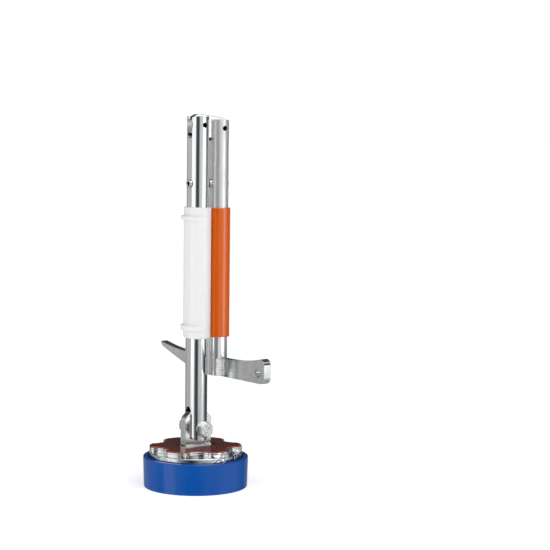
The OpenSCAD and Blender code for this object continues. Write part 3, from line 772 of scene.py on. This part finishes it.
# Plasticised PVC, dip-moulded white: glossy, faintly warm, with soft waves and a little grime.
white_pvc, tree, place = start_material("white_soft_pvc", {"IOR": 1.53})
wave_width = 12 * MM
grime_width = 3 * MM
waves = add(tree, "ShaderNodeTexNoise", {"Scale": 1 / wave_width, "Detail": 2.0, "Vector": place})
grime = add(tree, "ShaderNodeTexNoise", {"Scale": 1 / grime_width, "Detail": 5.0, "Vector": place})
surface(
    tree, tint=(grime, (0.25, "#EFEFED"), (0.5, "#F4F4F3")), gloss=(grime, 0.2, 0.3),
    relief=[(waves, 0.4, 0.08 * MM)]
)
show(
    "white_grip", sleeve("white_grip", 0.0, oval_rays(grip_seams), grip_rings), white_pvc,
    "lever", "white_plastic", "lever_grip"
)


# Hinge: an M8 hexagon bolt with two washers and a lock nut clamps tube and ear together.
# All are copies of their solids with the edges broken, turned on the bolt's axis as they were tightened.

# Steel fastener, zinc plated: bright but slightly milky, with small stains.
zinc_fastener, tree, place = start_material("zinc_plated_fastener", {"Metallic": 1.0})
stain_width = 2.5 * MM
stains = add(tree, "ShaderNodeTexNoise", {"Scale": 1 / stain_width, "Detail": 4.0, "Vector": place})
surface(
    tree, tint=(stains, (0.3, "#C9CBCB"), (0.6, "#EDEDEB")), gloss=(stains, 0.09, 0.18),
    relief=[(stains, 0.5, 0.008 * MM)]
)
washer_low, washer_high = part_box("hinge_washers")
hinge_axis = Matrix.Translation((washer_low + washer_high) / 2)
tightened = Matrix.Rotation(math.radians(30), 4, "Y")
for name, node, edge in (
    ("hinge_hexagon_bolt", "hinge_bolt", 0.35 * MM),
    ("hinge_lock_nut", "lock_nut", 0.3 * MM),
    ("hinge_flat_washers", "hinge_washers", 0.35 * MM),
):
    fastener = edged_copy(node, edge, 3)
    fastener.transform(hinge_axis @ tightened @ hinge_axis.inverted())
    show(name, fastener, zinc_fastener, "lever", "zinc_fastener", node)


# Link pins: two slotted spring pins, rolled from spring strip and driven through tube and link.
# Each is a strip's section swept round an open arc, so the slot and the hollow are real.

PIN_BORE_R = 1.5 * MM
PIN_EDGE = 0.3 * MM
PIN_SLOT = math.radians(24)
PIN_TURN = math.radians(40)
slotted_pin, size = start_tree("slotted_pin", {
    "Mean radius": "Float", "Strip": "Float", "Length": "Float", "Edge round": "Float",
    "Slot angle": "Float", "Centre": "Vector", "Finish": "Material",
})
open_angle = add(
    slotted_pin, "ShaderNodeMath", {"operation": "SUBTRACT", 0: 2 * math.pi, 1: size["Slot angle"]}
)
roll = add(slotted_pin, "GeometryNodeCurveArc", {
    "mode": "RADIUS", "Resolution": 56, "Radius": size["Mean radius"], "Sweep Angle": open_angle,
})
strip = add(
    slotted_pin, "GeometryNodeCurvePrimitiveQuadrilateral",
    {"Width": size["Strip"], "Height": size["Length"]}
)
eased = add(
    slotted_pin, "GeometryNodeFilletCurve",
    {"mode": "POLY", "Count": 3, "Curve": strip, "Radius": size["Edge round"]}
)
rolled = add(
    slotted_pin, "GeometryNodeCurveToMesh", {"Fill Caps": True, "Curve": roll, "Profile Curve": eased}
)
driven = add(slotted_pin, "GeometryNodeTransform", {
    "Rotation": (math.pi / 2, PIN_TURN, 0), "Geometry": rolled, "Translation": size["Centre"],
})
end_tree(slotted_pin, driven, size["Finish"])

for name, node, body in (
    ("lever_spring_pin", "lever_pivot_pin", "lever"),
    ("extension_spring_pin", "extension_pivot_pin", "extension"),
):
    pin_low, pin_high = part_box(node)
    pin_r = (pin_high.x - pin_low.x) / 2
    pin = bake(slotted_pin, {
        "Mean radius": (pin_r + PIN_BORE_R) / 2, "Strip": pin_r - PIN_BORE_R,
        "Length": pin_high.y - pin_low.y, "Edge round": PIN_EDGE, "Slot angle": PIN_SLOT,
        "Centre": (pin_low + pin_high) / 2, "Finish": black_oxide,
    })
    show(name, smooth(pin, 40), None, body, "dark_steel", node)


# Rivets: hollow steel rivets, rolled over on both flats of each tube.
# Each is turned as one closed ring, with the rolled lip standing proud of the flat.

RIVET_BORE_R = 2 * MM
RIVET_SHANK_R = 3 * MM
BORE_LIP = 0.7 * MM
HEAD_LIP = 0.8 * MM
across = Matrix.Rotation(math.pi / 2, 4, "Y")
for name, node, body in (
    ("lever_hollow_rivet", "lever_rivet", "lever"),
    ("extension_hollow_rivet", "extension_rivet", "extension"),
):
    rivet_low, rivet_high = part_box(node)
    half = (rivet_high.x - rivet_low.x) / 2
    head_r = (rivet_high.z - rivet_low.z) / 2
    rivet = lathe(name, rounded([
        (RIVET_BORE_R, -half, BORE_LIP),
        (head_r, -half, HEAD_LIP),
        (head_r, -OVAL_R, 0),
        (RIVET_SHANK_R, -OVAL_R, 0),
        (RIVET_SHANK_R, OVAL_R, 0),
        (head_r, OVAL_R, 0),
        (head_r, half, HEAD_LIP),
        (RIVET_BORE_R, half, BORE_LIP),
    ]), 48)
    rivet.transform(Matrix.Translation((rivet_low + rivet_high) / 2) @ across)
    show(name, rivet, zinc_fastener, body, "bright_tube", node)


# Detents: in each tube a coil spring on a moulded seat pushes a plunger up under the link's end.
# The springs are wound as a helix of round wire.

coil_spring, size = start_tree("coil_spring", {
    "Mean radius": "Float", "Wire radius": "Float", "Turns": "Float", "Height": "Float",
    "Foot": "Vector", "Finish": "Material",
})
helix = add(coil_spring, "GeometryNodeCurveSpiral", {
    "Resolution": 40, "Rotations": size["Turns"], "Start Radius": size["Mean radius"],
    "End Radius": size["Mean radius"], "Height": size["Height"],
})
wire = add(
    coil_spring, "GeometryNodeCurvePrimitiveCircle", {"Resolution": 12, "Radius": size["Wire radius"]}
)
wound = add(
    coil_spring, "GeometryNodeCurveToMesh", {"Fill Caps": True, "Curve": helix, "Profile Curve": wire}
)
stood = add(coil_spring, "GeometryNodeTransform", {"Geometry": wound, "Translation": size["Foot"]})
end_tree(coil_spring, stood, size["Finish"])

# Spring wire, hard drawn: grey and smooth, with faint paler patches.
spring_wire, tree, place = start_material("drawn_spring_wire", {"Metallic": 1.0})
fleck_width = 1.0 * MM
flecks = add(tree, "ShaderNodeTexNoise", {"Scale": 1 / fleck_width, "Detail": 3.0, "Vector": place})
surface(tree, tint=(flecks, (0.3, "#8E9194"), (0.7, "#B5B7B8")), gloss=(flecks, 0.2, 0.36))

# Acetal, turned from rod: waxy ivory with fine tool rings, drawn 0.6 mm apart so that they show.
turned_acetal, tree, place = start_material("turned_acetal", {"IOR": 1.48})
tool_gap = 0.6 * MM
tool_rings = add(tree, "ShaderNodeTexWave", {
    "bands_direction": "Z", "Scale": WAVE_LENGTH / tool_gap, "Distortion": 0.6, "Vector": place,
}).outputs["Fac"]
surface(tree, tint=(tool_rings, (0.2, "#CFCDC3"), (0.8, "#DEDCD3")), gloss=(tool_rings, 0.34, 0.46))

WIRE_R = 0.7 * MM
COILS = 6.0
for side, joint in (("lever", "lever_plunger_travel"), ("extension", "extension_plunger_travel")):
    spring_low, spring_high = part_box(side + "_spring")
    foot = Vector(((spring_low.x + spring_high.x) / 2, 0, spring_low.z + WIRE_R))
    height = spring_high.z - spring_low.z
    spring = bake(coil_spring, {
        "Mean radius": (spring_high.x - spring_low.x) / 2 - WIRE_R, "Wire radius": WIRE_R, "Turns": COILS,
        "Height": height - 2 * WIRE_R, "Foot": foot, "Finish": spring_wire,
    })
    piece = show(
        side + "_coil", smooth(spring, 50), None, side, "spring_steel", side + "_spring"
    )
    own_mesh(piece)
    finish_node(side + "_spring_seat", cast_epoxy)
    finish_node(side + "_plunger", turned_acetal)


# Link: 6.5 mm steel plate with round ends that swings on both pins, zinc plated like the ear.
# A copy of its solid with well broken edges.

LINK_EDGE = 0.6 * MM
show("link_bar", edged_copy("link_plate", LINK_EDGE, 3), satin_zinc, "link", "zinc_plate", "link_plate")


# Extension: the second flat-oval tube, slotted at the top for the link and at the foot for the bar.
# Its plating is hazier than the lever's. Its orange vinyl sleeve, with plain ends, is lofted round it.

# Steel tube, zinc plated: a clear mirror at the foot that handling has hazed towards the top, with
# lengthwise lines that are drawn 0.6 mm wide so that they show.
hazed_tube, tree, place = start_material("drawn_hazed_zinc_tube", {"Metallic": 0.8})
draw_width = 0.6 * MM
draw_run = 30 * MM
smear_width = 14 * MM
SMEAR_DULLING = 0.2
stretched = add(tree, "ShaderNodeMapping", {
    "Scale": (1 / draw_width, 1 / draw_width, 1 / draw_run), "Vector": place,
})
drawn = add(tree, "ShaderNodeTexNoise", {"Scale": 1.0, "Detail": 3.0, "Vector": stretched})
smears = add(tree, "ShaderNodeTexNoise", {"Scale": 1 / smear_width, "Detail": 4.0, "Vector": place})
upwards = add(tree, "ShaderNodeSeparateXYZ", {"Vector": place}).outputs["Z"]
haze = add(tree, "ShaderNodeMapRange", {
    "From Min": 150 * MM, "From Max": 265 * MM, "To Min": 0.0, "To Max": 0.24, "Value": upwards,
})
dulled = add(
    tree, "ShaderNodeMath", {"operation": "MULTIPLY_ADD", 0: smears, 1: SMEAR_DULLING, 2: haze}
)
surface(
    tree, tint=(drawn, (0.3, "#F3F4F5"), (0.6, "#FDFDFC")), gloss=(dulled, 0.0, 1.0),
    relief=[(drawn, 0.4, 0.006 * MM)]
)
show(
    "extension_pipe", edged_copy("extension_tube", TUBE_EDGE), hazed_tube,
    "extension", "bright_tube", "extension_tube"
)

orange_low, orange_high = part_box("extension_grip")
orange_x = (orange_low.x + orange_high.x) / 2
ORANGE_WALL = (orange_high.y - orange_low.y) / 2 - OVAL_HALF - OVAL_R
ORANGE_ROUND = 0.5 * MM


def orange_offset(inset):
    """The orange sleeve's stand-off on one ring, the same all round."""
    return lambda c, s: ORANGE_WALL - inset


orange_rings = end_rings(orange_low.z, ORANGE_ROUND, 3, orange_offset)
orange_rings += reversed(end_rings(orange_high.z, -ORANGE_ROUND, 3, orange_offset))

# Plasticised PVC, extruded orange: glossy, with long shallow waves along the sleeve.
orange_pvc, tree, place = start_material("orange_soft_pvc", {"IOR": 1.53})
wave_width = 4 * MM
wave_run = 40 * MM
stretched = add(tree, "ShaderNodeMapping", {
    "Scale": (1 / wave_width, 1 / wave_width, 1 / wave_run), "Vector": place,
})
waves = add(tree, "ShaderNodeTexNoise", {"Scale": 1.0, "Detail": 2.0, "Vector": stretched})
surface(
    tree, tint=(waves, (0.3, "#D45A03"), (0.7, "#DB6005")), gloss=(waves, 0.07, 0.12),
    relief=[(waves, 0.3, 0.015 * MM)]
)
show(
    "orange_grip", sleeve("orange_grip", orange_x, oval_rays(()), orange_rings), orange_pvc,
    "extension", "orange_plastic", "extension_grip"
)


# Cross bar: 8 mm steel bar through the extension's foot, with a hanging hole in one arm and a pick
# ground on the other. A copy of its solid with broken edges, held by four upright weld beads.

show(
    "pick_bar", edged_copy("cross_bar", PLATE_EDGE, 3), satin_zinc, "extension", "zinc_plate", "cross_bar"
)

bar_low, bar_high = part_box("bar_welds")
BAR_BEAD_R = 3.4 * MM
BAR_SEAM_END = 0.6 * MM
bar_mid_x = (bar_low.x + bar_high.x) / 2
bar_seam_x = (bar_high.x - bar_low.x) / 2 - BAR_BEAD_R
bar_seam_y = bar_high.y - BAR_BEAD_R
bar_seams = seams_mesh("bar_seams", [
    ((bar_mid_x + u * bar_seam_x, v * bar_seam_y, bar_low.z + BAR_SEAM_END),
     (bar_mid_x + u * bar_seam_x, v * bar_seam_y, bar_high.z - BAR_SEAM_END))
    for u in (-1, 1) for v in (-1, 1)
])
bar_bead = bake(weld_bead, {
    "Bead radius": BAR_BEAD_R, "Ripple gap": 2.6 * MM, "Ripple height": 0.06, "Lump width": 3.2 * MM,
    "Lump height": 1.1, "Wander": 1.4 * MM, "Finish": zinc_weld,
}, bar_seams)
show("bar_beads", bar_bead, None, "extension", "zinc_weld", "bar_welds")


# Studio: a white floor disc, a soft white room with dark and light panels that the metal mirrors,
# and a camera where the object was seen from. The floor stays under the cap when the tool is lifted.

FLOOR_R = 40.0
FLOOR_DEPTH = 2 * MM
floor_mesh = lathe("floor", [(0, -FLOOR_DEPTH), (FLOOR_R, -FLOOR_DEPTH), (FLOOR_R, 0), (0, 0)], 96)
floor = put("floor", floor_mesh)
floor.visible_glossy = False
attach(floor, "cap")

# Matt paper, lit from behind: white with a very faint tooth.
paper, tree, place = start_material("matt_white_paper", {
    "Roughness": 0.95, "IOR": 1.2, "Emission Color": linear("#FFFFFF"), "Emission Strength": 0.55,
})
tooth_width = 2 * MM
tooth = add(tree, "ShaderNodeTexNoise", {"Scale": 1 / tooth_width, "Detail": 2.0, "Vector": place})
surface(tree, tint=(tooth, (0.3, "#F6F6F6"), (0.7, "#F9F9F9")))
floor_mesh.materials.append(paper)

# The room's walls in four rows of panels, each as compass degrees and brightness. A row takes over from
# the one above between two heights, which are those of a direction of length 1.
BLUE_CAST = 1.01
sky_row = [
    (-180, 1.1), (-168, 1.1), (-158, 0.08), (-127, 0.08), (-116, 0.6), (-90, 0.6), (-66, 0.3),
    (-45, 0.06), (105, 0.06), (136, 1.1), (180, 1.1),
]
upper_row = [
    (-180, 1.2), (-173, 1.2), (-166, 0.3), (-158, 0.1), (-146, 0.05), (-134, 0.06), (-127, 0.2),
    (-117, 0.66), (-96, 0.74), (-82, 1.0), (-78, 1.3), (-74, 3.3), (-57, 3.3), (-53, 1.3), (-46, 1.0),
    (-41, 0.8), (-30, 0.3), (-20, 0.16), (-3, 0.08), (16, 0.16), (30, 1.0), (76, 1.0), (98, 0.2),
    (116, 0.54), (127, 0.54), (129, 0.22), (132, 0.22), (138, 1.2), (180, 1.2),
]
middle_row = [
    (-180, 1.2), (-176, 1.0), (-166, 0.2), (-154, 0.06), (-134, 0.06), (-129, 0.13), (-117, 0.64),
    (-92, 0.63), (-80, 0.68), (-66, 0.98), (-60, 0.94), (-52, 0.72), (-44, 0.4), (-36, 0.14),
    (-18, 0.05), (6, 0.05), (82, 0.35), (108, 0.26), (117, 0.48), (127, 0.48), (129, 0.2), (132, 0.2),
    (138, 1.2), (180, 1.2),
]
lower_row = [
    (-180, 1.0), (-173, 0.9), (-169, 0.42), (-155, 0.23), (-148, 0.12), (-141, 0.04), (-135, 0),
    (-118, 0), (-108, 0.23), (-94, 0.34), (-65, 0.48), (-55, 0.55), (-31, 0.5), (-21, 0.42), (-9, 0.17),
    (5, 0.1), (24, 0.27), (107, 0.35), (134, 0.35), (142, 0.27), (150, 0.17), (159, 0.3), (164, 0.9),
    (180, 1.0),
]
studio = bpy.data.worlds.new("studio")
bpy.context.scene.world = studio
studio.use_nodes = True
tree = studio.node_tree
tree.nodes.clear()
toward = add(tree, "ShaderNodeTexCoord").outputs["Generated"]
axes = add(tree, "ShaderNodeSeparateXYZ", {"Vector": toward}).outputs
compass = add(tree, "ShaderNodeMath", {"operation": "ARCTAN2", 0: axes["Y"], 1: axes["X"]})
share = add(tree, "ShaderNodeMapRange", {"From Min": -math.pi, "From Max": math.pi, "Value": compass})
room = None
for top, bottom, panels in (
    (0, 0, sky_row), (0.03, 0.0, upper_row), (-0.12, -0.138, middle_row), (-0.165, -0.2, lower_row)
):
    stops = [((turn + 180) / 360, (level, level, level * BLUE_CAST, 1)) for turn, level in panels]
    row = add(tree, "ShaderNodeValToRGB", {"stops": stops, "Fac": share})
    if room is None:
        room = row.outputs["Color"]
        continue
    below = add(tree, "ShaderNodeMapRange", {
        "interpolation_type": "SMOOTHSTEP", "From Min": top, "From Max": bottom, "Value": axes["Z"],
    })
    room = add(tree, "ShaderNodeMix", {"data_type": "RGBA", 0: below, 6: room, 7: row}).outputs[2]

# Above the walls a canopy that is bright towards the camera's side, and below them a grey ground.
CANOPY_FACES = (-0.26, -0.966, 0)
GROUND_GREY = (0.4, 0.4, 0.4, 1)
BACKDROP_WHITE = (1.0, 1.0, 1.0, 1)
overhead = add(tree, "ShaderNodeMapRange", {
    "interpolation_type": "SMOOTHSTEP", "From Min": 0.45, "From Max": 0.75, "Value": axes["Z"],
})
facing = add(
    tree, "ShaderNodeVectorMath", {"operation": "DOT_PRODUCT", 0: toward, 1: CANOPY_FACES}
).outputs["Value"]
canopy = add(tree, "ShaderNodeMapRange", {
    "From Min": 0.18, "From Max": 0.58, "To Min": 0.08, "To Max": 3.0, "Value": facing,
})
ceiling = add(
    tree, "ShaderNodeMix", {"data_type": "RGBA", 0: overhead, 6: room, 7: canopy}
).outputs[2]
underfoot = add(tree, "ShaderNodeMapRange", {
    "interpolation_type": "SMOOTHSTEP", "From Min": -0.4, "From Max": -0.7, "Value": axes["Z"],
})
ground = add(
    tree, "ShaderNodeMix", {"data_type": "RGBA", 0: underfoot, 6: ceiling, 7: GROUND_GREY}
).outputs[2]
seen = add(tree, "ShaderNodeLightPath").outputs["Is Camera Ray"]
backdrop = add(
    tree, "ShaderNodeMix", {"data_type": "RGBA", 0: seen, 6: ground, 7: BACKDROP_WHITE}
).outputs[2]
glow = add(tree, "ShaderNodeBackground", {"Color": backdrop})
add(tree, "ShaderNodeOutputWorld", {"Surface": glow})
bpy.context.scene.view_settings.view_transform = "Standard"

CAMERA_DISTANCE = 1.6175
CAMERA_HEIGHT = 0.3439
CAMERA_SIDE = math.radians(34.9)
AIM_SIDE = math.radians(37.51)
AIM_DOWN = math.radians(5.01)
ROLL = math.radians(0.65)
SENSOR_MM = 36.0
FOCAL_SHARE = 1717.7 / 550
ahead = Vector((
    math.sin(AIM_SIDE) * math.cos(AIM_DOWN), math.cos(AIM_SIDE) * math.cos(AIM_DOWN), -math.sin(AIM_DOWN)
))
level_right = ahead.cross(Vector((0, 0, 1))).normalized()
level_up = level_right.cross(ahead)
right = level_right * math.cos(ROLL) + level_up * math.sin(ROLL)
up = right.cross(ahead)
lens = bpy.data.cameras.new("camera")
lens.sensor_width = SENSOR_MM
lens.lens = SENSOR_MM * FOCAL_SHARE
camera = put("camera", lens)
stand = Vector((
    -math.sin(CAMERA_SIDE) * CAMERA_DISTANCE, -math.cos(CAMERA_SIDE) * CAMERA_DISTANCE, CAMERA_HEIGHT
))
camera.matrix_world = Matrix.Translation(stand) @ Matrix((right, up, -ahead)).transposed().to_4x4()
bpy.context.scene.camera = camera
